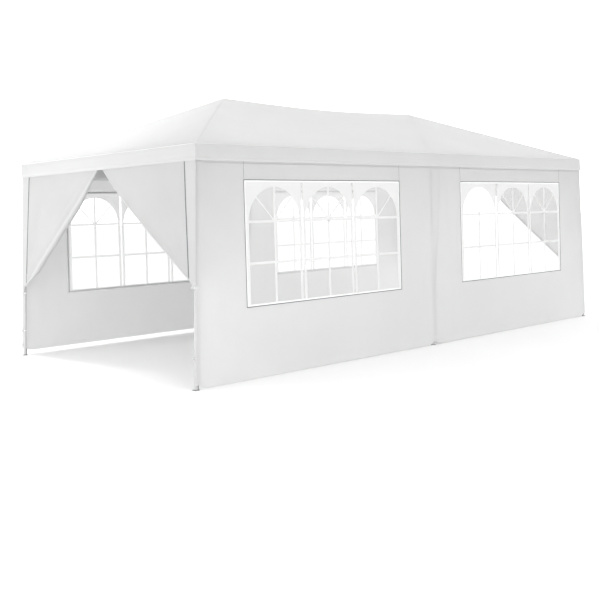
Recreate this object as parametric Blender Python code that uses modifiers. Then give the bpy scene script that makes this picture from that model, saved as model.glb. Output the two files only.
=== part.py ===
"""Party marquee, 6 m by 3 m, with a double-peaked roof on a push-fit tube frame.

Metres, +Z up. X runs along the tent, Y across it, and the ground is z = 0 under the tent's middle.
The front is the long side at -Y, the left end is at -X. Each end has a cloth door tied back in two flaps.
"""

import bmesh
import bpy
from math import atan, cos, pi
from mathutils import Matrix, Quaternion, Vector

# Outside of the roof cover
LENGTH = 6.0
WIDTH = 3.0
EAVE_Z = 1.98
PEAK_Z = 2.60
VALANCE_HEIGHT = 0.142
RIDGE_SAG = 0.035
CLOTH = 0.003

# Side walls and their windows
BAY = LENGTH / 2
WALL_SLACK = 0.006
WALL_BOTTOM_Z = 0.03
WALL_TOP_Z = 1.965
WINDOW_WIDTH = 2.0
WINDOW_BOTTOM_Z = 0.615
WINDOW_TOP_Z = 1.685
WINDOW_WELD = 0.02
WINDOW_FILM = 0.0015

# Tube frame
LEG_RADIUS = 0.016
POLE_RADIUS = 0.014
TUBE_WALL = 0.0012
LEG_SPLAY = 0.07
STUB_LENGTH = 0.09
SPIGOT_LENGTH = 0.05
SPIGOT_PLAY = 0.0005
ARM_ROOT = 0.001
ARM_TURN = 0.07
PEAK_DRUM_RADIUS = 0.03
PEAK_DRUM_DEPTH = 0.022

# Foot plates
FOOT_SIDE = 0.044
FOOT_PLATE = 0.004
FOOT_SPIGOT = 0.045
FOOT_TAB_WIDTH = 0.016
FOOT_TAB_HEIGHT = 0.065

# Door flaps: where the zip stops, and how high each flap is tied to its leg
FLAP_TIE_Y = 1.41
FLAP_ROLL_RADIUS = 0.018
FLAP_ROLL_TOP_RADIUS = 0.008
FLAP_ROLL_CLEAR = 0.012
DOORS = {
    "left": {"side": -1, "zip_y": -0.035, "zip_z": 1.90, "front_tie_z": 0.875, "back_tie_z": 0.735},
    "right": {"side": 1, "zip_y": 0.0, "zip_z": 1.75, "front_tie_z": 0.60, "back_tie_z": 0.60},
}

GAP = 0.0004
SIDES = 16

# Worked out from the sizes above
HALF_L = LENGTH / 2
HALF_W = WIDTH / 2
PITCH = (PEAK_Z - EAVE_Z) / HALF_W
SLOPE_COS = cos(atan(PITCH))
CLOTH_DROP = CLOTH / SLOPE_COS
RIDGE_HALF = HALF_L - HALF_W
WALL_OUT = CLOTH + WALL_SLACK
WALL_IN = WALL_OUT + CLOTH
LEG_INSET = WALL_IN + GAP + LEG_RADIUS
JOINT_X = HALF_L - LEG_INSET
JOINT_Y = HALF_W - LEG_INSET
POLE_DROP = CLOTH_DROP + (POLE_RADIUS + GAP) / SLOPE_COS
JOINT_Z = EAVE_Z + PITCH * LEG_INSET - POLE_DROP
PEAK_JOINT_Z = PEAK_Z - POLE_DROP
FACING = {"front": -1, "back": 1}
ENDS = {"left": -1, "right": 1}

WHITE_STEEL = ((0.86, 0.86, 0.86), 0.35, 0.0)
DARK_STEEL = ((0.06, 0.06, 0.065), 0.45, 0.0)
WHITE_CLOTH = ((0.83, 0.83, 0.84), 0.6, 0.0)
CLEAR_FILM = ((0.92, 0.94, 0.95), 0.1, 0.0)

for old in list(bpy.data.objects):
    bpy.data.objects.remove(old, do_unlink=True)

tent = bpy.data.collections.new("party_marquee")
cutters = bpy.data.collections.new("cutters")
bpy.context.scene.collection.children.link(tent)
bpy.context.scene.collection.children.link(cutters)


def lean(z):
    """How far outside its top joint an end leg stands at height z."""
    return LEG_SPLAY * (1 - z / JOINT_Z)


def move_to(obj, collection):
    for holder in list(obj.users_collection):
        holder.objects.unlink(obj)
    collection.objects.link(obj)


def finish(obj, name, look):
    """Names a piece of the tent and gives it its own material."""
    colour, roughness, metallic = look
    obj.name = name
    obj.data.name = name
    material = bpy.data.materials.new(f"{name}_finish")
    material.use_nodes = True
    shader = material.node_tree.nodes["Principled BSDF"]
    shader.inputs["Base Color"].default_value = (*colour, 1)
    shader.inputs["Roughness"].default_value = roughness
    shader.inputs["Metallic"].default_value = metallic
    obj.data.materials.clear()
    obj.data.materials.append(material)
    move_to(obj, tent)
    return obj


def helper(obj):
    """Puts a solid that only joins or cuts another one out of sight."""
    obj.hide_render = True
    obj.display_type = "WIRE"
    move_to(obj, cutters)
    return obj


def combine(obj, other, operation):
    step = obj.modifiers.new(operation.lower(), "BOOLEAN")
    step.operation = operation
    step.solver = "EXACT"
    step.object = helper(other)


def mesh_object(bm, name):
    mesh = bpy.data.meshes.new(name)
    bm.to_mesh(mesh)
    bm.free()
    obj = bpy.data.objects.new(name, mesh)
    bpy.context.scene.collection.objects.link(obj)
    return obj


def aim(obj, start, direction):
    """Stands an object, modelled up +Z from its origin, at start and along a direction."""
    obj.rotation_mode = "QUATERNION"
    obj.rotation_quaternion = Vector(direction).to_track_quat("Z", "Y")
    obj.location = start
    return obj


def box(low, high):
    bpy.ops.mesh.primitive_cube_add(size=1)
    obj = bpy.context.object
    low, high = Vector(low), Vector(high)
    obj.location = (low + high) / 2
    obj.dimensions = high - low
    bpy.ops.object.transform_apply(location=False, rotation=False, scale=True)
    return obj


def rod(start, end, radius, end_radius=None):
    """A solid round bar between two points, tapered where its end has a radius of its own."""
    start, end = Vector(start), Vector(end)
    bpy.ops.mesh.primitive_cone_add(
        vertices=SIDES,
        radius1=radius,
        radius2=radius if end_radius is None else end_radius,
        depth=(end - start).length,
    )
    return aim(bpy.context.object, (start + end) / 2, end - start)


def tube(start, end, radius):
    """An open-ended round tube with its real wall."""
    start, end = Vector(start), Vector(end)
    length = (end - start).length
    bpy.ops.mesh.primitive_cylinder_add(
        vertices=SIDES, radius=radius, depth=length, end_fill_type="NOTHING"
    )
    obj = bpy.context.object
    wall = obj.modifiers.new("wall", "SOLIDIFY")
    wall.thickness = TUBE_WALL
    wall.offset = -1
    wall.use_even_offset = True
    obj.data.shade_smooth()
    return aim(obj, (start + end) / 2, end - start)


def arm(start, direction, radius):
    """A connector's arm: a stub as wide as its pole, then a thinner spigot that the pole slides over.

    It begins a little behind start, so that arms that meet there share no corner.
    """
    spigot = radius - TUBE_WALL - SPIGOT_PLAY
    tip = STUB_LENGTH + SPIGOT_LENGTH
    shoulder = [(0, tip), (spigot, tip), (spigot, STUB_LENGTH), (radius, STUB_LENGTH)]
    profile = shoulder + [(radius, -ARM_ROOT), (0, -ARM_ROOT)]
    bm = bmesh.new()
    points = [bm.verts.new((r, 0, z)) for r, z in profile]
    for a, b in zip(points, points[1:]):
        bm.edges.new((a, b))
    obj = mesh_object(bm, "arm")
    turn = obj.modifiers.new("turn", "SCREW")
    turn.steps = SIDES
    turn.render_steps = SIDES
    turn.use_merge_vertices = True
    turn.merge_threshold = 0.00005
    return aim(obj, start, direction)


def ball(centre, radius):
    bpy.ops.mesh.primitive_uv_sphere_add(segments=SIDES, ring_count=8, radius=radius, location=centre)
    return bpy.context.object


def outline(name, loops, thickness):
    """A flat sheet with holes, from closed loops of points in its own XY plane."""
    curve = bpy.data.curves.new(name, "CURVE")
    curve.dimensions = "2D"
    curve.fill_mode = "BOTH"
    curve.extrude = thickness / 2
    for loop in loops:
        spline = curve.splines.new("POLY")
        spline.points.add(len(loop) - 1)
        for point, (u, v) in zip(spline.points, loop):
            point.co = (u, v, 0, 1)
        spline.use_cyclic_u = True
    obj = bpy.data.objects.new(name, curve)
    bpy.context.scene.collection.objects.link(obj)
    return obj


def as_mesh(obj):
    """Turns a curve object into a mesh object in the same place, with its caps joined to its sides."""
    bpy.context.view_layer.update()
    depsgraph = bpy.context.evaluated_depsgraph_get()
    mesh = bpy.data.meshes.new_from_object(obj.evaluated_get(depsgraph))
    bm = bmesh.new()
    bm.from_mesh(mesh)
    bmesh.ops.remove_doubles(bm, verts=bm.verts, dist=0.00001)
    bm.to_mesh(mesh)
    bm.free()
    solid = bpy.data.objects.new(obj.name, mesh)
    solid.matrix_world = obj.matrix_world
    bpy.context.scene.collection.objects.link(solid)
    bpy.data.objects.remove(obj, do_unlink=True)
    return solid


def dip_half(y):
    """Half the width, along the tent, of the stretch of roof between the two mid rafters."""
    return max(RIDGE_HALF * (1 - abs(y) / JOINT_Y), 0)


def roof_z(x, y):
    """Top of the roof cover. Between the two peaks the cover hangs in a shallow dip off the mid rafters."""
    inward = min(HALF_W - abs(y), HALF_L - abs(x))
    z = EAVE_Z + PITCH * inward
    half = dip_half(y)
    if abs(x) < half:
        z -= RIDGE_SAG * (1 - (x / half) ** 2) * half / RIDGE_HALF
    return z


def slope(columns, rows, place):
    """A roof slope: a grid whose place(column, row) gives each point in plan, thickened straight down."""
    bm = bmesh.new()
    bmesh.ops.create_grid(bm, x_segments=columns, y_segments=rows, size=0.5)
    for vert in bm.verts:
        column = round((vert.co.x + 0.5) * columns)
        row = round((vert.co.y + 0.5) * rows)
        x, y = place(column, row)
        vert.co = (x, y, roof_z(x, y))
    bmesh.ops.remove_doubles(bm, verts=bm.verts, dist=0.0001)
    lower = bmesh.ops.extrude_face_region(bm, geom=bm.faces[:])["geom"]
    moved = [item for item in lower if isinstance(item, bmesh.types.BMVert)]
    bmesh.ops.translate(bm, verts=moved, vec=(0, 0, -CLOTH_DROP))
    bmesh.ops.recalc_face_normals(bm, faces=bm.faces)
    return mesh_object(bm, "slope")


def long_slope(facing):
    """Front or back slope: a flat triangle at each end and a dipped one between the mid rafters."""
    across = [HALF_W, JOINT_Y, JOINT_Y * 0.75, JOINT_Y * 0.5, JOINT_Y * 0.25, GAP / 2]
    along = [-1, -2 / 3, -1 / 3, 0, 1 / 3, 2 / 3, 1]

    def place(column, row):
        y = across[row]
        hip = HALF_L - HALF_W + y - GAP / 2
        if column == 0:
            return -hip, facing * y
        if column == len(along) + 1:
            return hip, facing * y
        return along[column - 1] * dip_half(y), facing * y

    return slope(len(along) + 1, len(across) - 1, place)


def end_slope(side):
    """Hipped end: one flat triangle, kept just clear of the front and back slopes."""

    def place(column, row):
        if row == 1:
            return side * (RIDGE_HALF + GAP), 0
        half = HALF_W - CLOTH - GAP
        return side * HALF_L, half * (2 * column - 1)

    return slope(1, 1, place)


def make_roof():
    foot = EAVE_Z - VALANCE_HEIGHT
    overlap = EAVE_Z - CLOTH_DROP / 2
    for name, facing in FACING.items():
        y_out, y_in = facing * HALF_W, facing * (HALF_W - CLOTH)
        cover = long_slope(facing)
        combine(cover, box((-HALF_L, min(y_out, y_in), foot), (HALF_L, max(y_out, y_in), overlap)), "UNION")
        finish(cover, f"roof_{name}", WHITE_CLOTH)
    for name, side in ENDS.items():
        x_out, x_in = side * HALF_L, side * (HALF_L - CLOTH)
        half = HALF_W - CLOTH - GAP
        cover = end_slope(side)
        combine(cover, box((min(x_out, x_in), -half, foot), (max(x_out, x_in), half, overlap)), "UNION")
        finish(cover, f"roof_{name}_end", WHITE_CLOTH)


def leg_line(side, facing):
    """Ground point and top joint of a leg. Side is -1, 0 or 1 along the tent."""
    top = Vector((side * JOINT_X, facing * JOINT_Y, JOINT_Z))
    ground = Vector((side * (JOINT_X + lean(0)), facing * JOINT_Y, 0))
    return ground, top


def make_legs():
    for end, side in (("left", -1), ("mid", 0), ("right", 1)):
        for name, facing in FACING.items():
            ground, top = leg_line(side, facing)
            up = (top - ground).normalized()
            tip = abs(up.x) * LEG_RADIUS
            base = ground + up * (FOOT_PLATE + GAP + tip)
            leg = tube(base, top - up * (STUB_LENGTH + GAP), LEG_RADIUS)
            finish(leg, f"leg_{name}_{end}", WHITE_STEEL)
            make_foot(f"foot_{name}_{end}", ground, up, -1 if side > 0 else 1)


def make_foot(name, ground, up, inner):
    """A square plate, the spigot that the leg stands on and an upright tab against the leg's inner side."""
    half = FOOT_SIDE / 2
    foot = box(ground - Vector((half, half, 0)), ground + Vector((half, half, FOOT_PLATE)))
    spigot = rod(ground + up * FOOT_PLATE / 2, ground + up * FOOT_SPIGOT, LEG_RADIUS - TUBE_WALL - SPIGOT_PLAY)
    combine(foot, spigot, "UNION")
    side = Vector((inner, 0, 0))
    side = (side - up * side.dot(up)).normalized()
    tab = box((-FOOT_PLATE / 2, -FOOT_TAB_WIDTH / 2, 0), (FOOT_PLATE / 2, FOOT_TAB_WIDTH / 2, FOOT_TAB_HEIGHT))
    tab.rotation_mode = "QUATERNION"
    tab.rotation_quaternion = Matrix((side, up.cross(side), up)).transposed().to_quaternion()
    off = LEG_RADIUS + GAP + FOOT_PLATE / 2
    tab.location = ground + side * off + up * (FOOT_PLATE / 2 + FOOT_TAB_HEIGHT / 2)
    combine(foot, tab, "UNION")
    finish(foot, name, DARK_STEEL)


def connector(name, joint, core, arms):
    """Joins a core and its arms. Each arm is turned a little on its own axis, so no two arms share a facet."""
    for number, (end, radius) in enumerate(arms):
        part = arm(joint, end - joint, radius)
        part.rotation_quaternion @= Quaternion((0, 0, 1), number * ARM_TURN)
        combine(core, part, "UNION")
    finish(core, name, WHITE_STEEL)


def make_connectors():
    peaks = {side: Vector((side * RIDGE_HALF, 0, PEAK_JOINT_Z)) for side in ENDS.values()}
    for end, side in ENDS.items():
        for name, facing in FACING.items():
            ground, joint = leg_line(side, facing)
            along = joint - Vector((side, 0, 0))
            across = joint - Vector((0, facing, 0))
            arms = [(ground, LEG_RADIUS), (along, POLE_RADIUS), (across, POLE_RADIUS), (peaks[side], POLE_RADIUS)]
            connector(f"corner_connector_{name}_{end}", joint, ball(joint, POLE_RADIUS * 0.99), arms)
    for name, facing in FACING.items():
        ground, joint = leg_line(0, facing)
        arms = [(ground, LEG_RADIUS)]
        for side in ENDS.values():
            arms += [(joint + Vector((side, 0, 0)), POLE_RADIUS), (peaks[side], POLE_RADIUS)]
        connector(f"side_connector_{name}", joint, ball(joint, POLE_RADIUS * 0.99), arms)
    for end, side in ENDS.items():
        peak = peaks[side]
        drum = rod(peak - Vector((0, 0, PEAK_DRUM_DEPTH)), peak + Vector((0, 0, GAP)), PEAK_DRUM_RADIUS)
        arms = [(leg_line(foot, facing)[1], POLE_RADIUS) for foot in (side, 0) for facing in FACING.values()]
        connector(f"peak_connector_{end}", peak, drum, arms)


def pole(name, start, end):
    """A pole between two joints, ending at the shoulders of their stubs."""
    along = (end - start).normalized()
    reach = STUB_LENGTH + GAP
    finish(tube(start + along * reach, end - along * reach, POLE_RADIUS), name, WHITE_STEEL)


def make_poles():
    for end, side in ENDS.items():
        peak = Vector((side * RIDGE_HALF, 0, PEAK_JOINT_Z))
        for name, facing in FACING.items():
            corner, middle = leg_line(side, facing)[1], leg_line(0, facing)[1]
            pole(f"eave_rail_{name}_{end}", middle, corner)
            pole(f"hip_rafter_{name}_{end}", corner, peak)
            pole(f"mid_rafter_{name}_{end}", middle, peak)
        pole(f"eave_rail_{end}_end", leg_line(side, -1)[1], leg_line(side, 1)[1])


def make_walls():
    """Each long side has two panels, one a bay, that meet on the middle leg. A clear film closes each window."""
    for end, side in ENDS.items():
        for name, facing in FACING.items():
            top, bottom = WALL_TOP_Z, WALL_BOTTOM_Z
            panel = [
                (side * GAP, bottom),
                (side * (HALF_L - WALL_OUT + lean(bottom)), bottom),
                (side * (HALF_L - WALL_OUT + lean(top)), top),
                (side * GAP, top),
            ]
            x0 = side * (BAY - WINDOW_WIDTH) / 2
            x1 = side * (BAY + WINDOW_WIDTH) / 2
            hole = [(x0, WINDOW_BOTTOM_Z), (x1, WINDOW_BOTTOM_Z), (x1, WINDOW_TOP_Z), (x0, WINDOW_TOP_Z)]
            wall = outline("wall", [panel, hole], CLOTH)
            wall.rotation_euler = (pi / 2, 0, 0)
            wall.location = (0, facing * (HALF_W - WALL_OUT - CLOTH / 2), 0)
            finish(as_mesh(wall), f"wall_{name}_{end}", WHITE_CLOTH)
            y_far = facing * (HALF_W - WALL_IN - GAP)
            y_near = y_far - facing * WINDOW_FILM
            film = box(
                (min(x0, x1) - WINDOW_WELD, min(y_far, y_near), WINDOW_BOTTOM_Z - WINDOW_WELD),
                (max(x0, x1) + WINDOW_WELD, max(y_far, y_near), WINDOW_TOP_Z + WINDOW_WELD),
            )
            finish(film, f"window_{name}_{end}", CLEAR_FILM)


def make_flaps():
    """Door flaps: the cloth above the diagonal hangs flat, and what was below it is rolled up along it."""
    tilt = atan(LEG_SPLAY / JOINT_Z)
    plane_x = HALF_L - WALL_OUT - CLOTH / 2
    for end, door in DOORS.items():
        side = door["side"]
        for name, facing in FACING.items():
            tie_z = door[f"{name}_tie_z"]
            edge_y = facing * (HALF_W - WALL_IN - GAP)
            zip_y = door["zip_y"] + facing * GAP
            top = Vector((zip_y, door["zip_z"]))
            bottom = Vector((facing * FLAP_TIE_Y, tie_z))
            sheet = [(zip_y, WALL_TOP_Z), (edge_y, WALL_TOP_Z), (edge_y, tie_z), bottom, top]
            flap = outline("flap", [[(y, (z - JOINT_Z) / cos(tilt)) for y, z in sheet]], CLOTH)
            stand_up = Matrix.Rotation(pi / 2, 4, "Z") @ Matrix.Rotation(pi / 2, 4, "X")
            flap.matrix_world = (
                Matrix.Translation((side * plane_x, 0, JOINT_Z)) @ Matrix.Rotation(-side * tilt, 4, "Y") @ stand_up
            )
            flap = as_mesh(flap)
            roll_top_z = min(door["zip_z"], EAVE_Z - VALANCE_HEIGHT) - FLAP_ROLL_CLEAR
            start = top.lerp(bottom, (top.y - roll_top_z) / (top.y - bottom.y))
            stop = top.lerp(bottom, 1 - FLAP_ROLL_CLEAR / (top - bottom).length)
            ends = [Vector((side * (plane_x + lean(z)), y, z)) for y, z in (start, stop)]
            combine(flap, rod(*ends, FLAP_ROLL_TOP_RADIUS, FLAP_ROLL_RADIUS), "UNION")
            finish(flap, f"door_flap_{end}_{name}", WHITE_CLOTH)


make_roof()
make_legs()
make_connectors()
make_poles()
make_walls()
make_flaps()
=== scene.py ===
# %% [markdown]
# # A white party marquee, 6 m by 3 m
#
# The real tent is a push-fit frame of thin white tubes with a sewn cover over it. Six legs stand on small
# grey plates. The roof rises to two peaks and hangs in a shallow dip between them, and a straight valance
# runs all round it. Four side panels with clear arched windows hang on the long sides, and each end has a
# cloth door that is tied back in two flaps.
#
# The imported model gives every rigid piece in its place. What this file adds is the cloth, the clear film
# and the finishes, so each lesson below takes one real material or one sewn piece.

# %% Load the frame
from collections import Counter, namedtuple
from math import atan2, cos, exp, hypot, pi, sin

import bmesh
import bpy
from mathutils import Matrix, Vector, noise


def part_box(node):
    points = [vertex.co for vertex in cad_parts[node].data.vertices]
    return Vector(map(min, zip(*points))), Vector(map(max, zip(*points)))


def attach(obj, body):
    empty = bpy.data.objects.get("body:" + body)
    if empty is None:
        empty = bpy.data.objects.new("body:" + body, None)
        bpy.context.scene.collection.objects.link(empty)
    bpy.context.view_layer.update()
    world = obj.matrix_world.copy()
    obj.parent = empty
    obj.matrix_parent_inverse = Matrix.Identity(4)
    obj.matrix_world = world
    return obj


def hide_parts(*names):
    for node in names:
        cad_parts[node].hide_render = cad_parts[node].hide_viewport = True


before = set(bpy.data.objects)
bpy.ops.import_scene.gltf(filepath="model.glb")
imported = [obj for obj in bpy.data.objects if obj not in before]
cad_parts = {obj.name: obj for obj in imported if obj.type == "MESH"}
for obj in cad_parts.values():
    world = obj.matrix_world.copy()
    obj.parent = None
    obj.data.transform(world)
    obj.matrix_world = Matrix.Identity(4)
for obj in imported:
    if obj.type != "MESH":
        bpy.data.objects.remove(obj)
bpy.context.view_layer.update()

# %% [markdown]
# ## Sizes of the tent
#
# All of the cloth hangs from a few lines of the frame: the eaves, the two peaks and the legs, whose feet
# stand a little further out than their tops. The outline is read off the box of a packed roof slope, so the
# cloth can't drift away from the tubes. The sizes of hems and seams are usual ones for this kind of tent.

# %% Lines that the cloth follows
front_low, front_high = (Vector(corner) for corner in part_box("roof_front"))
HALF_L = front_high.x
HALF_W = -front_low.y
VALANCE_FOOT = front_low.z
PEAK_Z = 2.60
EAVE_Z = 1.98
PEAK_X = HALF_L - HALF_W
PITCH = (PEAK_Z - EAVE_Z) / HALF_W
JOINT_X, JOINT_Y, JOINT_Z = 2.9716, 1.4716, 1.973
LEG_SPLAY = 0.07
ENDS = {"left": -1, "right": 1}
FACING = {"front": -1, "back": 1}


def lean(z):
    """How far outside its top joint an end leg stands at height z."""
    return LEG_SPLAY * (1 - z / JOINT_Z)


print(f"roof {2 * HALF_L:.2f} by {2 * HALF_W:.2f} m, eave {EAVE_Z} m, valance to {VALANCE_FOOT:.3f} m")

# %% [markdown]
# ## The camera
#
# The photograph was taken at chest height from outside the near corner. A camera was fitted to the
# valance's corners, the peaks and the feet, and the numbers below are that fit. Its optical axis passes
# above the middle of the square picture, so the lens is shifted rather than tilted, and upright lines stay
# upright.

# %% Camera
CAMERA_AT = Vector((-7.3225, -7.2506, 1.387))
YAW, CAMERA_PITCH, ROLL = 0.7582, -0.0179, -0.0271
FOCAL_PIXELS, PICTURE_PIXELS, AXIS_ROW = 896.06, 600, 230
SENSOR_MM = 36


def add_object(name, data):
    """A new object in the scene."""
    made = bpy.data.objects.new(name, data)
    bpy.context.scene.collection.objects.link(made)
    return made


forward = Vector((sin(YAW) * cos(CAMERA_PITCH), cos(YAW) * cos(CAMERA_PITCH), sin(CAMERA_PITCH)))
level_right = Vector((cos(YAW), -sin(YAW), 0))
level_up = level_right.cross(forward)
right = cos(ROLL) * level_right + sin(ROLL) * level_up
up = -sin(ROLL) * level_right + cos(ROLL) * level_up

camera_data = bpy.data.cameras.new("camera")
camera_data.sensor_width = SENSOR_MM
camera_data.lens = SENSOR_MM * FOCAL_PIXELS / PICTURE_PIXELS
camera_data.shift_y = (AXIS_ROW - PICTURE_PIXELS / 2) / PICTURE_PIXELS
camera_data.clip_end = 500
camera = add_object("camera", camera_data)
camera.matrix_world = Matrix.Translation(CAMERA_AT) @ Matrix((right, up, -forward)).transposed().to_4x4()
bpy.context.scene.camera = camera
print(f"lens {camera_data.lens:.1f} mm, shift {camera_data.shift_y:.3f}")

# %% [markdown]
# ## Colours and nodes
#
# Colours are written as the hex values that a colour picker shows, and turned to the linear values that the
# renderer adds up. One small function places a shader node, gives it its settings and links it. Each
# material starts with the node that says where on the object a point lies, because every pattern here is
# measured there.


# %% Colour and node helpers
def linear(hex_colour):
    """An sRGB hex colour as linear red, green, blue and alpha."""
    parts = [int(hex_colour[i : i + 2], 16) / 255 for i in (1, 3, 5)]
    return (*(c / 12.92 if c <= 0.04045 else ((c + 0.055) / 1.055) ** 2.4 for c in parts), 1)


def node(tree, kind, inputs=None, stops=(), **settings):
    """Adds a node. An input is a value or the (node, output) that feeds it; stops are a ramp's colours."""
    made = tree.nodes.new(kind)
    for name, value in settings.items():
        setattr(made, name, value)
    for k, (position, colour) in enumerate(stops):
        made.color_ramp.elements[k].position = position
        made.color_ramp.elements[k].color = linear(colour)
    for name, value in (inputs or {}).items():
        if isinstance(value, tuple) and isinstance(value[0], bpy.types.Node):
            tree.links.new(value[0].outputs[value[1]], made.inputs[name])
        else:
            made.inputs[name].default_value = value
    return made


def new_material(name):
    """An empty material, its tree and the output that gives a point's place on the object."""
    material = bpy.data.materials.new(name)
    material.use_nodes = True
    tree = material.node_tree
    tree.nodes.clear()
    return material, tree, (node(tree, "ShaderNodeTexCoord"), "Object")


print("a hex of #eaeaea is", round(linear("#eaeaea")[0], 3), "in linear light")

# %% [markdown]
# ## Coated polyethylene tarpaulin
#
# The roof, the walls and the doors are one kind of cloth: flat polyethylene tapes woven over and under each
# other, with a thin film melted on both faces. The film makes it smooth and softly shiny, the tapes leave a
# faint grid, and enough daylight passes through for a white tent to glow inside. The grid could be an
# image, but two crossed waves do it at any size. Real tapes are 2.5 mm wide. They are drawn 10 mm wide
# here, because from the camera one pixel is already more than that. A slow noise adds the milky patches of
# a cloth that varies in thickness.
#
# The daylight is a share of translucent shader mixed in. Hems, sleeves, rolls and welds have two layers or
# more, so they get a smaller share and look darker against the sky; hems and sleeves also get a darker
# colour, which is painted shade. On the walls the share rises with height, which paints light and shade: the
# outer face darkens and the inner face grows paler towards the eave.

# %% Tarpaulin material
TAPE_WIDTH = 0.010
TAPE_HEIGHT = 0.00025
# Heights between which the walls' painted light and shade grow
PAINTED_LIGHT_FROM_Z, PAINTED_LIGHT_TO_Z = 1.1, 1.9


def woven_tarpaulin(name, axes, dark, light, through):
    """White tarpaulin with tapes along two axes. Through is the share of light, or a low and a high one."""
    material, tree, place = new_material(name)
    at = node(tree, "ShaderNodeSeparateXYZ", {"Vector": place})
    waves = []
    for axis in axes:
        turns = node(tree, "ShaderNodeMath", {0: (at, axis), 1: 2 * pi / TAPE_WIDTH}, operation="MULTIPLY")
        waves.append((node(tree, "ShaderNodeMath", {0: (turns, "Value")}, operation="SINE"), "Value"))
    weave = node(tree, "ShaderNodeMath", {0: waves[0], 1: waves[1]}, operation="MULTIPLY")
    milk = {"Vector": place, "Scale": 2.2, "Detail": 3.0, "Roughness": 0.55}
    cloud = node(tree, "ShaderNodeTexNoise", milk)
    tint = node(tree, "ShaderNodeValToRGB", {"Fac": (cloud, "Fac")}, stops=((0.3, dark), (0.7, light)))
    rub = node(tree, "ShaderNodeTexNoise", {"Vector": place, "Scale": 9.0, "Detail": 2.0})
    sheen = {"Value": (rub, "Fac"), "From Min": 0.3, "From Max": 0.7, "To Min": 0.42, "To Max": 0.52}
    gloss = node(tree, "ShaderNodeMapRange", sheen)
    crinkle = node(tree, "ShaderNodeTexNoise", {"Vector": place, "Scale": 6.0, "Detail": 2.0})
    soft = node(tree, "ShaderNodeBump", {"Height": (crinkle, "Fac"), "Strength": 0.05, "Distance": 0.01})
    relief = {"Height": (weave, "Value"), "Strength": 0.22, "Distance": TAPE_HEIGHT}
    normal = (node(tree, "ShaderNodeBump", relief | {"Normal": (soft, "Normal")}), "Normal")
    look = {"Base Color": (tint, "Color"), "Roughness": (gloss, "Result"), "IOR": 1.5, "Normal": normal}
    shader = node(tree, "ShaderNodeBsdfPrincipled", look)
    glow = node(tree, "ShaderNodeBsdfTranslucent", {"Color": (tint, "Color"), "Normal": normal})
    # A low and a high share paint light and shade by height: the outer face darkens and the inner face grows
    # paler towards the eave.
    if isinstance(through, tuple):
        rise = {"From Min": PAINTED_LIGHT_FROM_Z, "From Max": PAINTED_LIGHT_TO_Z, "To Min": through[0], "To Max": through[1]}
        through = (node(tree, "ShaderNodeMapRange", {"Value": (at, "Z")} | rise), "Result")
    both = node(tree, "ShaderNodeMixShader", {0: through, 1: (shader, "BSDF"), 2: (glow, "BSDF")})
    node(tree, "ShaderNodeOutputMaterial", {"Surface": (both, "Shader")})
    return material


CLOTHS = {
    "roof": ("XY", "#eaeaea", "#ececec", 0.50),  # the whitest, lit from above
    "wall": ("XZ", "#e8e8e8", "#eaeaea", (0.49, 0.63)),  # painted light and shade: darker outside and paler inside towards the eave
    "door": ("YZ", "#e1e1e1", "#e4e4e4", 0.60),  # thin and glowing, with soft grey folds
    "rolled": ("YZ", "#e1e1e1", "#e5e5e5", 0.32),  # many turns, so the roll has a dark side
    "sleeve": ("YZ", "#dedede", "#e1e1e1", 0.42),  # a second layer with less light through, and a darker colour that is painted shade
    "hem": ("YZ", "#d8d8d8", "#dcdcdc", 0.42),  # a doubled edge with less light through, and a darker colour that is painted shade: a grey band along the slant
    "weld": ("XY", "#e2e2e2", "#e5e5e5", 0.30),  # so near the roof's tone that the hips barely show
    "piping": ("XY", "#e2e2e2", "#e5e5e5", 0.20),  # a dense round edge that draws the eave's line
}
tarpaulin = {kind: woven_tarpaulin(f"{kind}_tarpaulin", *look) for kind, look in CLOTHS.items()}
print(len(tarpaulin), "tarpaulins, drawn with", round(1 / TAPE_WIDTH), "tapes a metre")

# %% [markdown]
# ## Clear vinyl film
#
# The windows are calendered PVC film, about 0.3 mm thick. It is smooth enough to mirror the sky, it never
# lies quite flat, and its slight haze lifts whatever is seen through it. A glass shader would bend light
# through two faces and keep direct light out of the tent, so the film is a mostly transparent glossy
# surface instead.

# %% Film material
FILM_HAZE = 0.26

# Smooth rolled vinyl: a thin white veil over what is behind it, and reflections that wander a little.
clear_film, tree, place = new_material("clear_vinyl_film")
ripple = node(tree, "ShaderNodeTexNoise", {"Vector": place, "Scale": 3.5, "Detail": 1.0})
wavy = node(tree, "ShaderNodeBump", {"Height": (ripple, "Fac"), "Strength": 0.35, "Distance": 0.01})
film_look = {"Base Color": linear("#fdfdfd"), "Roughness": 0.08, "IOR": 1.53, "Alpha": FILM_HAZE}
film_shader = node(tree, "ShaderNodeBsdfPrincipled", film_look | {"Normal": (wavy, "Normal")})
node(tree, "ShaderNodeOutputMaterial", {"Surface": (film_shader, "BSDF")})
print(f"film lets {1 - FILM_HAZE:.0%} of the light straight through")

# %% [markdown]
# ## White window bars
#
# The arched bars are white PVC, welded onto the clear film. They are whiter and smoother than the cloth,
# and thin enough for daylight to pass, which keeps them bright on both sides of the tent. Round each window
# a heated bar has pressed the film's edge to the cloth, and its jaws have left a strip of dots. They are
# about 1 mm apart, and drawn 4 mm apart so that a close view shows them. A picture of the bars on the film
# would be flat, so they are pieces of their own, with a material each for the cut and the pressed vinyl.

# %% Window bar materials
DOTS_PER_METRE = 250.0
BAR_GLOW = 0.55

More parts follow.
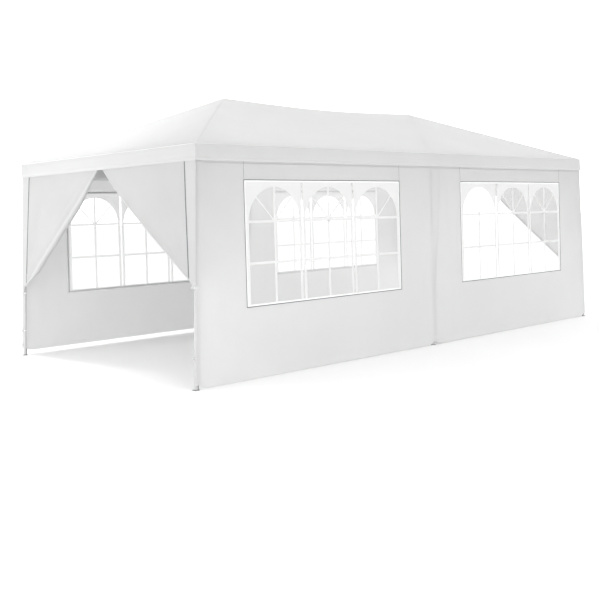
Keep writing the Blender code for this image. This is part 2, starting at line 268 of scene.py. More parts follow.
# Welded vinyl: a clean bright white with a soft highlight.
white_vinyl, tree, place = new_material("welded_white_vinyl")
ink = node(tree, "ShaderNodeTexNoise", {"Vector": place, "Scale": 30.0, "Detail": 2.0})
tint = node(tree, "ShaderNodeValToRGB", {"Fac": (ink, "Fac")}, stops=((0, "#f4f4f4"), (1, "#f7f7f7")))
ink_bump = node(tree, "ShaderNodeBump", {"Height": (ink, "Fac"), "Strength": 0.1, "Distance": 0.002})
bar_look = {"Base Color": (tint, "Color"), "Roughness": 0.3, "IOR": 1.53, "Normal": (ink_bump, "Normal")}
vinyl_shader = node(tree, "ShaderNodeBsdfPrincipled", bar_look)
vinyl_glow = node(tree, "ShaderNodeBsdfTranslucent", {"Color": (tint, "Color")})
shares = {0: BAR_GLOW, 1: (vinyl_shader, "BSDF"), 2: (vinyl_glow, "BSDF")}
vinyl_mix = node(tree, "ShaderNodeMixShader", shares)
node(tree, "ShaderNodeOutputMaterial", {"Surface": (vinyl_mix, "Shader")})

# Pressed vinyl: the same white, dulled by rows of dots that catch small glints.
weld_vinyl, tree, place = new_material("pressed_weld_vinyl")
dots = node(tree, "ShaderNodeTexVoronoi", {"Vector": place, "Scale": DOTS_PER_METRE})
dot_bump = node(tree, "ShaderNodeBump", {"Height": (dots, "Distance"), "Strength": 0.3, "Distance": 0.0004})
weld_look = {"Base Color": linear("#fcfcfc"), "Roughness": 0.35, "IOR": 1.53, "Normal": (dot_bump, "Normal")}
weld_shader = node(tree, "ShaderNodeBsdfPrincipled", weld_look)
node(tree, "ShaderNodeOutputMaterial", {"Surface": (weld_shader, "BSDF")})
print("vinyl:", white_vinyl.name, weld_vinyl.name)

# %% [markdown]
# ## Binding, zip tape and strap
#
# A narrow grey line runs round each window and down each door: a woven polyester binding sewn over the cut
# edge, and the tape of a nylon zip. Both are ribbed across their length. The ribs are 0.8 mm apart on the
# real tape and are drawn nearly 5 mm apart, so that a close view shows them. The tie straps are the same
# weave in white. The ribs run aslant to all three axes, so that one material suits a strip in any
# direction.

# %% Tape materials
RIB_SCALE = 78.5  # a diagonal wave of this scale has its ribs 4.6 mm apart


def ribbed_tape(name, dark, light, roughness):
    """A narrow woven tape: matt, with a soft bloom at its edges and fine ribs that break the highlight."""
    material, tree, place = new_material(name)
    weave = {"Vector": place, "Scale": RIB_SCALE, "Distortion": 0.0}
    ribs = node(tree, "ShaderNodeTexWave", weave, bands_direction="DIAGONAL")
    tint = node(tree, "ShaderNodeValToRGB", {"Fac": (ribs, "Fac")}, stops=((0, dark), (1, light)))
    bump = node(tree, "ShaderNodeBump", {"Height": (ribs, "Fac"), "Strength": 0.5, "Distance": 0.0004})
    look = {"Base Color": (tint, "Color"), "Roughness": roughness, "Normal": (bump, "Normal")}
    shader = node(tree, "ShaderNodeBsdfPrincipled", look | {"Sheen Weight": 0.3, "Sheen Roughness": 0.5})
    node(tree, "ShaderNodeOutputMaterial", {"Surface": (shader, "BSDF")})
    return material


dark_binding = ribbed_tape("dark_polyester_binding", "#585a5c", "#707274", 0.75)
nylon_zip = ribbed_tape("grey_nylon_zip", "#55575a", "#6e7073", 0.55)
white_strap = ribbed_tape("white_polyester_strap", "#dedfe0", "#f0f1f1", 0.8)
print("tapes:", dark_binding.name, nylon_zip.name, white_strap.name)

# %% [markdown]
# ## Powder-coated steel
#
# The poles are thin steel tube, sprayed with white powder and baked. The coat flows out to a faint orange
# peel and stays a little glossy. The connectors get the same coat in a paler white. The foot plates are
# pressed steel under a matt grey primer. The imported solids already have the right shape, so they only need
# their finish. A plain white would do from far off, but the peel breaks the long highlight of a tube, as it
# does on a real one. It is drawn 2 to 3 mm across on the tubes, about twice as coarse as it is.


# %% Steel materials
def powder_coat(name, dark, light, roughness, grain):
    """Baked powder paint: a soft gloss under a fine orange peel, with a slight change of tone."""
    material, tree, place = new_material(name)
    peel = node(tree, "ShaderNodeTexNoise", {"Vector": place, "Scale": 1 / grain, "Detail": 1.0})
    tone = node(tree, "ShaderNodeTexNoise", {"Vector": place, "Scale": 6.0, "Detail": 3.0})
    tint = node(tree, "ShaderNodeValToRGB", {"Fac": (tone, "Fac")}, stops=((0.35, dark), (0.65, light)))
    bump = node(tree, "ShaderNodeBump", {"Height": (peel, "Fac"), "Strength": 0.15, "Distance": 0.0005})
    look = {"Base Color": (tint, "Color"), "Roughness": roughness, "IOR": 1.5, "Normal": (bump, "Normal")}
    shader = node(tree, "ShaderNodeBsdfPrincipled", look | {"Coat Weight": 0.25, "Coat Roughness": 0.2})
    node(tree, "ShaderNodeOutputMaterial", {"Surface": (shader, "BSDF")})
    return material


white_powder = powder_coat("white_powder_coated_steel", "#c0c0c0", "#c8c8c8", 0.42, 0.003)
connector_powder = powder_coat("white_powder_coated_connector", "#dcdedf", "#eceded", 0.42, 0.002)
foot_primer = powder_coat("grey_primed_steel", "#646769", "#7d8082", 0.6, 0.0015)

STEEL = {"foot": foot_primer} | dict.fromkeys(("leg", "eave", "hip", "mid"), white_powder)
finished = Counter()
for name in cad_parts:
    finish = connector_powder if "connector" in name else STEEL.get(name.split("_")[0])
    if finish:
        steel = bpy.data.objects[name]
        steel.data.materials.clear()
        steel.data.materials.append(finish)
        finished[finish.name] += 1
print("steel finishes:", dict(finished))

# %% [markdown]
# ## Mesh helpers
#
# Each sewn piece is a grid of points that follows a formula, which keeps its edges straight where a hem is
# and lets it sag where cloth would. A Solidify modifier then gives the single layer a real thickness. A
# cloth simulation would give folds too, but not the same ones each time, and a formula can be matched to
# the tent.

# %% Piece and grid helpers
CLOTH = 0.0008


def piece(name, points, faces, material, thickness=None, offset=0.0):
    """A smooth mesh that rides with the tent, thickened where it's a sheet. Its cut edges stay crisp."""
    mesh = bpy.data.meshes.new(name)
    mesh.from_pydata([tuple(point) for point in points], [], faces)
    mesh.update()
    mesh.shade_smooth()
    uses = Counter(key for face in mesh.polygons for key in face.edge_keys)
    for edge in mesh.edges:
        edge.use_edge_sharp = uses[edge.key] == 1
    mesh.materials.append(material)
    made = add_object(name, mesh)
    if thickness:
        layer = made.modifiers.new("thickness", "SOLIDIFY")
        layer.thickness = thickness
        layer.offset = offset
    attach(made, "root")
    return made


def grid_faces(columns, rows, skip=None, ring_columns=False, ring_rows=False):
    """Quads between points that are stored column by column. A ring also joins its last line to its first."""
    faces = []
    for i in range(columns if ring_columns else columns - 1):
        for j in range(rows if ring_rows else rows - 1):
            if not (skip and skip(i, j)):
                a, b = i * rows, (i + 1) % columns * rows
                k = (j + 1) % rows
                faces.append((a + j, b + j, b + k, a + k))
    return faces


def turned(faces, flip=True):
    """The same faces, looking the other way if flip is true."""
    return [face[::-1] for face in faces] if flip else faces


def spaced(low, high, step):
    """Evenly spaced values from low to high, both included."""
    count = max(round(abs(high - low) / step), 1)
    return [low + (high - low) * k / count for k in range(count + 1)]


def smooth_step(value, low, high):
    """Rises from 0 at low to 1 at high, without a corner at either."""
    t = min(max((value - low) / (high - low), 0), 1)
    return t * t * (3 - 2 * t)


def slow_noise(x, y, z, size):
    """Soft random waves, about size metres long, from -1 to 1."""
    return noise.noise(Vector((x, y, z)) / size)


print("cloth is drawn", CLOTH * 1000, "mm thick; the real cloth is about 0.2 mm")

# %% [markdown]
# ## The roof cover
#
# The real cover is one sewn sheet: two long slopes, two hipped ends and the valance. It is pulled tight
# over the rafters, so between them it hangs in by a finger's width, and in the middle, where no pole runs
# from peak to peak, it dips further. It could be four flat triangles, but then no light would change across
# it. Here one grid covers the whole tent. Its lines meet the hips corner to corner, so the folds stay
# crisp. The outer ring of points carries on down as the valance.

# %% Roof shape
HIP_SOFTNESS = 0.004
RIDGE_DIP = 0.035
RAFTER_SAG = 0.006
END_SAG = 0.009
EAVE_ROLL = 0.012
EAVE_DROP = 0.003
RIPPLE, RIPPLE_LENGTH = 0.0007, 0.45
FULL_SAG = 27  # three shares that add up to one have a product of 1/27 at most


def roof_height(x, y):
    """Height of the cover: two peaks, a dip between them and a slight sag in each panel."""
    from_end, from_side = HALF_L - abs(x), HALF_W - abs(y)
    inward = min(from_end, from_side)
    blend = max(HIP_SOFTNESS - abs(from_end - from_side), 0) / HIP_SOFTNESS
    z = EAVE_Z + PITCH * max(inward - blend * blend * HIP_SOFTNESS / 4, 0)
    climb = inward / HALF_W
    half_dip = PEAK_X * climb
    if abs(x) < half_dip:
        z -= RIDGE_DIP * climb * (1 - (x / half_dip) ** 2) ** 1.5
    elif from_side <= from_end:
        toward_corner = (abs(x) - half_dip) / HALF_L
        z -= RAFTER_SAG * FULL_SAG * climb * toward_corner * max(1 - climb - toward_corner, 0)
    else:
        half, aside = (1 - climb) / 2, y / (2 * HALF_W)
        z -= END_SAG * FULL_SAG * climb * max(half + aside, 0) * max(half - aside, 0)
    z -= EAVE_DROP * max(1 - inward / EAVE_ROLL, 0) ** 2
    return z + RIPPLE * smooth_step(inward, 0.02, 0.3) * slow_noise(x, y, 0, RIPPLE_LENGTH)


print(f"peaks {roof_height(PEAK_X, 0):.3f} m, middle of the ridge {roof_height(0, 0):.3f} m")

# %% Roof mesh
EAVE_LINES = [0, 0.004, 0.009, 0.016, 0.026, 0.045]  # close together where the cloth rolls over the eave
ROOF_STEP = 0.03
RIDGE_STEP = 0.05

climb_lines = EAVE_LINES + spaced(0.075, HALF_W - 0.03, ROOF_STEP) + [HALF_W - 0.012, HALF_W]
middle = spaced(-PEAK_X, PEAK_X, RIDGE_STEP)[1:-1]
x_lines = [-HALF_L + d for d in climb_lines] + middle + [HALF_L - d for d in reversed(climb_lines)]
y_lines = [-HALF_W + d for d in climb_lines] + [HALF_W - d for d in reversed(climb_lines[:-1])]
columns, rows = len(x_lines), len(y_lines)
points = [(x, y, roof_height(x, y)) for x in x_lines for y in y_lines]
faces = []
for k, (a, b, c, d) in enumerate(grid_faces(columns, rows)):
    i, j = divmod(k, rows - 1)
    in_x, in_y = min(i, columns - 2 - i), min(j, rows - 2 - j)
    if in_x != in_y or in_x >= len(climb_lines) - 1:
        faces.append((a, b, c, d))
    elif (i == in_x) == (j == in_y):
        faces += [(a, b, c), (a, c, d)]
    else:
        faces += [(a, b, d), (b, c, d)]
print("roof grid:", columns, "by", rows, "lines,", len(faces), "faces")

# %% Valance
HEM = 0.022
HEM_STEP = 0.0012
EAVE_TURN = 0.010
SWING, SWING_LENGTH, SPREAD = 0.0028, 0.5, 0.001
NEAR = 1e-6


def outward(value, limit):
    """-1 or 1 on the low or high edge of the roof, 0 between them."""
    return (value > limit - NEAR) - (value < NEAR - limit)


rim = [i * rows for i in range(columns)]
rim += [(columns - 1) * rows + j for j in range(1, rows)]
rim += [i * rows + rows - 1 for i in range(columns - 2, -1, -1)]
rim += [j for j in range(rows - 2, 0, -1)]

valance_rows = [EAVE_Z - EAVE_TURN - drop for drop in (0, 0.03, 0.06)]
valance_rows += [VALANCE_FOOT + rise for rise in (HEM + 0.012, HEM + 0.002, HEM, HEM / 2, 0)]
above = rim
for z in valance_rows:
    ring = range(len(points), len(points) + len(rim))
    drop = smooth_step(EAVE_Z - z, 0.02, EAVE_Z - VALANCE_FOOT)
    hem = HEM_STEP if z < VALANCE_FOOT + HEM + NEAR else 0
    for x, y, _ in [points[index] for index in rim]:
        out = SWING * drop * slow_noise(x, y, 3, SWING_LENGTH) + SPREAD * drop + hem
        points.append((x + outward(x, HALF_L) * out, y + outward(y, HALF_W) * out, z))
    for k in range(len(rim)):
        n = (k + 1) % len(rim)
        faces.append((above[k], ring[k], ring[n], above[n]))
    above = ring

roof_cover = piece("roof_cover", points, faces, tarpaulin["roof"], CLOTH, -1.0)
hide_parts("roof_front", "roof_back", "roof_left_end", "roof_right_end")
print("roof cover:", len(points), "points,", len(faces), "faces")

# %% [markdown]
# ## Seams of the cover
#
# The valance is sewn to the slopes over a thin white piping, which catches a line of light all along the
# eave. The slopes and the ends are welded together along the hips with a flat strip 28 mm wide, so near to
# the cover's tone that only its edges show. A crease drawn in the material would be lost from the side, so
# both are raised pieces that follow the cover's own formula.

# %% Eave seam
SEAM_RADIUS = 0.0045
SEAM_DROP = 0.007
SEAM_SIDES = 8

corners = [(-1, -1), (1, -1), (1, 1), (-1, 1)]
path = []
for (ax, ay), (bx, by) in zip(corners, corners[1:] + corners[:1]):
    length = 2 * HALF_L if ay == by else 2 * HALF_W
    for t in spaced(0, 1, RIDGE_STEP / length)[:-1]:
        path.append((HALF_L * (ax + (bx - ax) * t), HALF_W * (ay + (by - ay) * t)))
points = []
for x, y in path:
    for k in range(SEAM_SIDES):
        turn = 2 * pi * k / SEAM_SIDES
        out, z = SEAM_RADIUS * cos(turn), EAVE_Z - SEAM_DROP + SEAM_RADIUS * sin(turn)
        points.append((x + outward(x, HALF_L) * out, y + outward(y, HALF_W) * out, z))
faces = turned(grid_faces(len(path), SEAM_SIDES, ring_columns=True, ring_rows=True))
eave_seam = piece("eave_seam", points, faces, tarpaulin["piping"])
print("eave seam", round(4 * (HALF_L + HALF_W), 2), "m long")

# %% Hip welds and the sheet
WELD_WIDTH = 0.028
WELD_ACROSS = {-1: 0.0001, -0.5: 0.0003, 0: 0.0003, 0.5: 0.0003, 1: 0.0001}  # how high the strip stands

points, faces = [], []
steps = spaced(0.03, HALF_W - 0.02, ROOF_STEP)
for sx, sy in corners:
    strip = turned(grid_faces(len(steps), len(WELD_ACROSS)), sx * sy < 0)
    faces += [[len(points) + k for k in face] for face in strip]
    for d in steps:
        for across, lift in WELD_ACROSS.items():
            shift = across * WELD_WIDTH / 2 * cos(pi / 4)
            x, y = sx * (HALF_L - d + shift), sy * (HALF_W - d - shift)
            points.append((x, y, roof_height(x, y) + lift))
hip_welds = piece("hip_welds", points, faces, tarpaulin["weld"])

# %% [markdown]
# ## The side walls
#
# Each long side is two panels, one for each bay, hung from the eave rails and tied to the legs. Real panels
# are cut a little larger than the bay, so they fall in soft upright folds beside the legs and lie flat
# round the stiffer window. The left panel of each pair runs on over the middle leg and laps over its
# neighbour, further at the top than at the foot, and its free edge stands a little off. The front panels
# end 8 mm above the ground and the back ones 42 mm above it. The lower edge is pulled up over each foot, so
# that the plates show. The window is left out of the grid, so it is a true opening in the cloth.

# %% Wall shape
WALL_Y = 1.4905
WALL_TOP = 1.965
WALL_FOOT = {"front": 0.008, "back": 0.042}
WINDOW_X = (0.5, 2.5)
WINDOW_Z = (0.615, 1.685)
WALL_HEM = 0.03
HEM_LIFT = 0.0008
LAP_FOOT, LAP_SPREAD, LAP_LIFT, LAP_CURL = 0.018, 0.14, 0.005, 0.13
JOINT_FOLDS = ((-0.13, 0.02, 0.055, 0.008), (-0.26, 0, 0.07, 0.004), (0.3, 0, 0.06, 0.004))
CORNER_FOLDS = ((2.925, 0.05, 0.006), (2.72, 0.06, 0.004))
WALL_WAVE = 0.004
FOOT_X = 3.04
NOTCH_WIDTH, NOTCH_HEIGHT = 0.05, 0.034


def lap_edge(z):
    """Where the left panel's free edge lies over the right one."""
    return LAP_FOOT + LAP_SPREAD * smooth_step(z, 0.2, 2.1)


def ridge(distance, width, height):
    """A soft upright fold."""
    return height * exp(-((distance / width) ** 2))


def wall_bulge(x, z, facing):
    """How far the wall's cloth stands out from its plane. It lies flat round the window and over the legs."""
    aside = max(WINDOW_X[0] - abs(x), abs(x) - WINDOW_X[1], 0)
    below = max(WINDOW_Z[0] - z, 0)
    free = smooth_step(hypot(aside, below), 0.02, 0.16)
    hang = smooth_step(1.8 - z, 0, 0.4)
    corner_hang = smooth_step(1.93 - z, 0, 0.35)
    off_legs = smooth_step(abs(x), 0.02, 0.06) * (1 - smooth_step(abs(x), 2.97, 3.02))
    folds = sum(ridge(x - at - slope * z, width, height) for at, slope, width, height in JOINT_FOLDS)
    corner = sum(ridge(abs(x) - at, width, height) for at, width, height in CORNER_FOLDS)
    waves = WALL_WAVE * slow_noise(x * 1.6, facing * 5, z * 0.5, 0.42)
    foot = WALL_WAVE * smooth_step(0.5 - z, 0, 0.5) * slow_noise(x, facing * 9, 0, 0.3)
    return free * off_legs * (hang * (WALL_WAVE + folds + waves + foot) + corner_hang * corner)


def foot_notch(x):
    """How far the lower edge is pulled up over the middle foot and the end feet, so that they show."""
    return ridge(x, NOTCH_WIDTH, NOTCH_HEIGHT) + ridge(abs(x) - FOOT_X, NOTCH_WIDTH, NOTCH_HEIGHT)


def wall_out(x, z, row, end):
    """Distance of a panel's cloth from the tent's middle. The left panel's free edge stands a little off."""
    out = WALL_Y + wall_bulge(x, z, FACING[row])
    if end == "left":
        out += LAP_LIFT * smooth_step(x, lap_edge(z) - LAP_CURL, lap_edge(z))
    return out


print(f"the lap is {lap_edge(0):.3f} m wide at the foot and {lap_edge(WALL_TOP):.3f} m at the top")

# %% Wall panels
TUCKED_IN = 0.025
CORNER_INSET = 0.0115

hem_rows = [0, WALL_HEM - 0.002, WALL_HEM]
rows_below = spaced(0.1, WINDOW_Z[0] - 0.03, 0.035)
rows_beside = spaced(*WINDOW_Z, 0.04)
rows_above = spaced(WINDOW_Z[1] + 0.025, WALL_TOP, 0.03)
window_low = len(hem_rows) + len(rows_below)
window_high = window_low + len(rows_beside) - 1
beside = spaced(0, 1, 1 / 18)
over = spaced(0, 1, 1 / 50)
wall_lines = [(0, t) for t in beside] + [(1, t) for t in over[1:]] + [(2, t) for t in beside[1:]]
window_left = len(beside) - 1
window_right = window_left + len(over) - 1


def in_window(i, j):
    """Whether a quad of a panel's grid lies in the opening."""
    return window_left <= i < window_right and window_low <= j < window_high


def wall_panel(row, end):
    """One panel: upright lines from the joint over the middle leg to the corner, without the window."""
    facing, side = FACING[row], ENDS[end]
    wall_rows = [WALL_FOOT[row] + step for step in hem_rows] + rows_below + rows_beside + rows_above
    points = []
    for part, t in wall_lines:
        for j, z in enumerate(wall_rows):
            joint = -lap_edge(z) if side < 0 else lap_edge(z) - TUCKED_IN
            corner = HALF_L - CORNER_INSET + lean(z)
            low, high = ((joint, WINDOW_X[0]), WINDOW_X, (WINDOW_X[1], corner))[part]
            x = side * (low + (high - low) * t)
            out = wall_out(x, z, row, end)
            if j < 2 or (part == 0 and t < 0.05):
                out += HEM_LIFT
            if j < len(hem_rows):
                z += foot_notch(x)
            points.append((x, facing * out, z))
    faces = turned(grid_faces(len(wall_lines), len(wall_rows), in_window), side * facing > 0)
    cloth = piece(f"wall_{row}_{end}_cloth", points, faces, tarpaulin["wall"], CLOTH)
    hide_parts(f"wall_{row}_{end}")
    return cloth


walls = {(row, end): wall_panel(row, end) for row in FACING for end in ENDS}
print("wall panels:", [wall.name for wall in walls.values()])

# %% [markdown]
# ## The windows
#
# Each window is a sheet of clear film behind the opening, with three arched lights of white vinyl welded to
# it: an upright bar and two rails in each, and a fan of three bars under the arch. The bars are cut as one
# flat shape with a hole for each pane, so no two strips overlap. The shape is then sliced into short
# lengths, so that it can follow the film, which is never quite flat. A pressed weld and a grey binding run
# round the opening, and the binding goes through to the inside, where it is narrower.

# %% Film
FILM_Y = 1.4868
FILM_EDGE = 0.02
FILM_STEP = 0.04
FILM_BELLY = 0.0035
BELLY_EDGE = 0.2

window_width = WINDOW_X[1] - WINDOW_X[0]
window_height = WINDOW_Z[1] - WINDOW_Z[0]


def film_wave(x, z):
    """How far the film stands in from its plane."""
    across = (abs(x) - WINDOW_X[0]) / window_width
    up = (z - WINDOW_Z[0]) / window_height
    inside = min(across, 1 - across, BELLY_EDGE) * min(up, 1 - up, BELLY_EDGE) / BELLY_EDGE**2
    return FILM_BELLY * max(inside, 0) * (0.65 + 0.5 * slow_noise(x, 2, z, 0.5))


def window_film(row, end):
    """The clear sheet, a little larger than the opening."""
    facing, side = FACING[row], ENDS[end]
    lines = spaced(WINDOW_X[0] - FILM_EDGE, WINDOW_X[1] + FILM_EDGE, FILM_STEP)
    heights = spaced(WINDOW_Z[0] - FILM_EDGE, WINDOW_Z[1] + FILM_EDGE, FILM_STEP)
    points = [(side * u, facing * (FILM_Y - film_wave(side * u, z)), z) for u in lines for z in heights]
    faces = turned(grid_faces(len(lines), len(heights)), side * facing > 0)
    film = piece(f"window_{row}_{end}_film", points, faces, clear_film)
    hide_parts(f"window_{row}_{end}")
    return film


films = {key: window_film(*key) for key in walls}
print(len(films), f"films over openings of {window_width:.2f} by {window_height:.2f} m")

# %% Outline of the bars
BORDER = 0.02
OUTER_LIP = 0.003
LIGHTS = 3
LIGHT_GAP = 0.022
STILE = 0.026
RAIL = 0.022
FAN_BAR = 0.014
HUB = 0.03
CROWN_DROP = 0.06

light_width = (window_width - 2 * BORDER - (LIGHTS - 1) * LIGHT_GAP) / LIGHTS
arch = light_width / 2 - STILE
spring_z = window_height - CROWN_DROP - arch
lower_rail_z = spring_z / 2 + RAIL / 4


def rectangle(u0, z0, u1, z1):
    """A loop of four corners."""
    return [(u0, z0), (u1, z0), (u1, z1), (u0, z1)]


def fan_pane(centre, start, start_half, stop, stop_half):
    """One pane of the fan, between two bars, the hub and the arch."""
    loop = []
    for radius, count, backward in ((arch, 12, False), (HUB, 3, True)):
        low = start + start_half / radius
        high = stop - stop_half / radius
        turns = spaced(low, high, (high - low) / count)
        for turn in reversed(turns) if backward else turns:
            loop.append((centre + radius * cos(turn), spring_z + radius * sin(turn)))
    return loop


def window_loops():
    """The bars' outer edge and every pane in them, from the window's lower corner."""
    loops = [rectangle(-OUTER_LIP, -OUTER_LIP, window_width + OUTER_LIP, window_height + OUTER_LIP)]
    bars = [(k * pi / 4, (FAN_BAR if k % 2 else RAIL) / 2) for k in range(5)]
    for light in range(LIGHTS):
        left = BORDER + light * (light_width + LIGHT_GAP)
        centre = left + light_width / 2
        if light:
            loops.append(rectangle(left - LIGHT_GAP, BORDER, left, window_height - BORDER))
        for u0, u1 in ((left + STILE, centre - RAIL / 2), (centre + RAIL / 2, left + light_width - STILE)):
            loops.append(rectangle(u0, BORDER, u1, lower_rail_z - RAIL / 2))
            loops.append(rectangle(u0, lower_rail_z + RAIL / 2, u1, spring_z - RAIL / 2))
        loops += [fan_pane(centre, *start, *stop) for start, stop in zip(bars, bars[1:])]
    return loops


print("outline of the bars:", len(window_loops()) - 1, "panes, arches of", round(arch, 3), "m radius")

# %% Flat shape of the bars
MERGE = 0.00002


def flat_shape(loops):
    """A bmesh of one flat shape with holes, in the XY plane."""
    curve = bpy.data.curves.new("outline", "CURVE")
    curve.dimensions = "2D"
    curve.fill_mode = "BOTH"
    for loop in loops:
        spline = curve.splines.new("POLY")
        spline.points.add(len(loop) - 1)
        for point, (u, v) in zip(spline.points, loop):
            point.co = (u, v, 0, 1)
        spline.use_cyclic_u = True
    holder = bpy.data.objects.new("outline", curve)
    shape = bmesh.new()
    shape.from_mesh(holder.to_mesh())
    holder.to_mesh_clear()
    bpy.data.objects.remove(holder)
    bpy.data.curves.remove(curve)
    return shape


bars_shape = flat_shape(window_loops())
for direction, size in ((Vector((1, 0, 0)), window_width), (Vector((0, 1, 0)), window_height)):
    for position in spaced(-FILM_EDGE, size + FILM_EDGE, FILM_STEP)[1:-1]:
        everything = bars_shape.verts[:] + bars_shape.edges[:] + bars_shape.faces[:]
        cut = {"plane_co": direction * position, "plane_no": direction}
        bmesh.ops.bisect_plane(bars_shape, geom=everything, **cut)
bmesh.ops.remove_doubles(bars_shape, verts=bars_shape.verts, dist=MERGE)
bmesh.ops.triangulate(bars_shape, faces=bars_shape.faces, quad_method="BEAUTY", ngon_method="BEAUTY")
bmesh.ops.recalc_face_normals(bars_shape, faces=bars_shape.faces)
bars_shape.verts.index_update()
bar_points = [tuple(v.co.xy) for v in bars_shape.verts]
bar_faces = [[v.index for v in face.verts] for face in bars_shape.faces]
bars_up = sum(face.normal.z for face in bars_shape.faces) > 0
bars_shape.free()
print("bars of one window:", len(bar_points), "points,", len(bar_faces), "faces")

# %% Bars and dark binding
VINYL = 0.0006
BARS_LIFT = 0.0012
BINDING = 0.007
SEAM = 0.0025
WELD = 0.010
INNER_DARK_LINE_X = (0.03, 2.95)
INNER_DARK_LINE_Z = (1.822, 1.827)


def window_bars(row, end):
    """The cut vinyl, laid on the film and bent with it."""
    facing, side = FACING[row], ENDS[end]
    points = []
    for u, v in bar_points:
        x, z = side * (WINDOW_X[0] + u), WINDOW_Z[0] + v
        points.append((x, facing * (FILM_Y - film_wave(x, z) + BARS_LIFT), z))
    faces = turned(bar_faces, (side * facing > 0) == bars_up)
    return piece(f"window_{row}_{end}_bars", points, faces, white_vinyl, VINYL)


def soften(made, width):
    """Rounds a moulded or pressed piece's edges."""
    edges = made.modifiers.new("soft_edges", "BEVEL")
    edges.width = width
    edges.segments = 2


def strips(name, row, end, boxes, material):
    """Flat strips on a wall. Each box has its ends along the wall, its heights and its depths."""
    facing, side = FACING[row], ENDS[end]
    sides = ((0, 1, 3, 2), (4, 6, 7, 5), (0, 4, 5, 1), (2, 3, 7, 6), (0, 2, 6, 4), (1, 5, 7, 3))
    points, faces = [], []
    for u0, u1, low, high, y0, y1 in boxes:
        faces += [tuple(len(points) + k for k in quad) for quad in sides]
        xs, ys = sorted((side * u0, side * u1)), sorted((facing * y0, facing * y1))
        points += [(x, y, z) for x in xs for y in ys for z in (low, high)]
    made = piece(name, points, faces, material)
    made.data.shade_flat()
    soften(made, 0.0003)
    return made


def frame_boxes(outer, inner, near, far):
    """Four strips round the opening, from outer outside its edge to inner inside it."""
    (x0, x1), (z0, z1) = WINDOW_X, WINDOW_Z
    return [
        (x0 - outer, x1 + outer, z1 - inner, z1 + outer, near, far),
        (x0 - outer, x1 + outer, z0 - outer, z0 + inner, near, far),
        (x0 - outer, x0 + inner, z0 + inner, z1 - inner, near, far),
        (x1 - inner, x1 + outer, z0 + inner, z1 - inner, near, far),
    ]


def window_binding(row, end):
    """The dark line round the opening, the two seams above it and a dark strip inside, below the valance's
    edge.
    """
    boxes = frame_boxes(BINDING / 2, BINDING / 2, FILM_Y + 0.0027, WALL_Y + 0.0012)
    boxes += frame_boxes(BINDING / 4, BINDING / 4, FILM_Y - 0.0004, FILM_Y + 0.0028)
    top = WINDOW_Z[1] + BINDING / 2
    for u in WINDOW_X:
        boxes.append((u - SEAM / 2, u + SEAM / 2, top, WALL_TOP - 0.01, WALL_Y + 0.0002, WALL_Y + 0.0009))
    # A dark strip 5 mm tall along the inner face, just below the valance's edge.
    boxes.append((*INNER_DARK_LINE_X, *INNER_DARK_LINE_Z, WALL_Y - 0.0012, WALL_Y - 0.0002))
    return strips(f"window_{row}_{end}_binding", row, end, boxes, dark_binding)


def window_weld(row, end):
    """The pressed white edge of the film, just inside the binding."""
    boxes = frame_boxes(-BINDING / 2, BINDING / 2 + WELD, FILM_Y + 0.0018, FILM_Y + 0.0026)
    return strips(f"window_{row}_{end}_weld", row, end, boxes, weld_vinyl)


for key, wall in walls.items():
    bars, weld, binding = window_bars(*key), window_weld(*key), window_binding(*key)
print("bars, welds and bindings for", len(walls), "windows")

# %% [markdown]
# ## The door flaps
#
# Each end wall is cut up the middle, and its halves are drawn aside. What hangs above the slanted edge
# stays flat, apart from folds that fan out from where the cloth is tied, and the edge sags below a straight
# line. What was below it is rolled up from the floor, so the roll is thin at the top and fills out towards
# the leg. The near door is rolled to the inside and the far one to the outside. The flat part is a grid of
# upright lines. At its lower edge each line carries on into a spiral, so flat cloth and roll are one sheet,
# and the turns show at its end. The rolled faces have a finish of their own, because many layers let less
# light through.

# %% Flap shape
FLAP_X = 2.9895
FLAP_EDGE = 1.4912
TIE_U = 1.41
ROLL_TO, KNOT_U = 1.43, 1.462
ROLL_TOP, ROLL_TIP = 0.010, 0.009
ROLL_SIDE = {"left": -1, "right": 1}
FOLD_WAVES = ((9, 1, 0.007), (17, 2, 0.0035))
CORNER_U, CORNER_TURN = 1.478, 18

# For each flap: where its edge leaves the top of the door, the heights of the tie and of the knot, the sag,
# the roll's radius and how much of it is hollow, where its folds begin to turn, and the width of its hem.
Flap = namedtuple("Flap", "top_u top_z tie_z knot_z sag roll hollow turn hem")
FLAPS = {
    ("front", "left"): Flap(0.035, 1.90, 0.875, 0.807, 0.056, 0.019, 0.15, 0.4, 0.016),
    ("back", "left"): Flap(-0.035, 1.90, 0.735, 0.632, 0.008, 0.033, 0.78, 1.7, 0.075),
    ("front", "right"): Flap(0.0, 1.80, 0.52, 0.46, 0.02, 0.016, 0.3, 2.1, 0.016),
    ("back", "right"): Flap(0.10, 1.90, 0.62, 0.55, 0.03, 0.016, 0.3, 3.4, 0.016),
}


def slant_z(flap, u):
    """Height of the slanted edge, which sags below the straight line from the door's top to the tie."""
    along = (u - flap.top_u) / (TIE_U - flap.top_u)
    return flap.top_z + (flap.tie_z - flap.top_z) * along - flap.sag * sin(pi * min(max(along, 0), 1) ** 0.65)


def slant_way(flap, u):
    """The direction of the slanted edge, outward along the door and up."""
    return Vector((0.01, slant_z(flap, u + 0.005) - slant_z(flap, u - 0.005))).normalized()


def flap_foot(flap, u):
    """Height of a flap's lower edge, down the slant and then steeply to the tie."""
    low = slant_z(flap, min(u, ROLL_TO))
    return low + (flap.knot_z - low) * smooth_step(u, ROLL_TO, KNOT_U)


def roll_radius(flap, u):
    """The roll fills out below the door's top and thins again to the tie."""
    share = (u - flap.top_u) / (ROLL_TO - flap.top_u)
    thick = ROLL_TOP + (flap.roll - ROLL_TOP) * smooth_step(share, 0, 0.35)
    return thick - (thick - ROLL_TIP) * smooth_step(share, 0.82, 1)


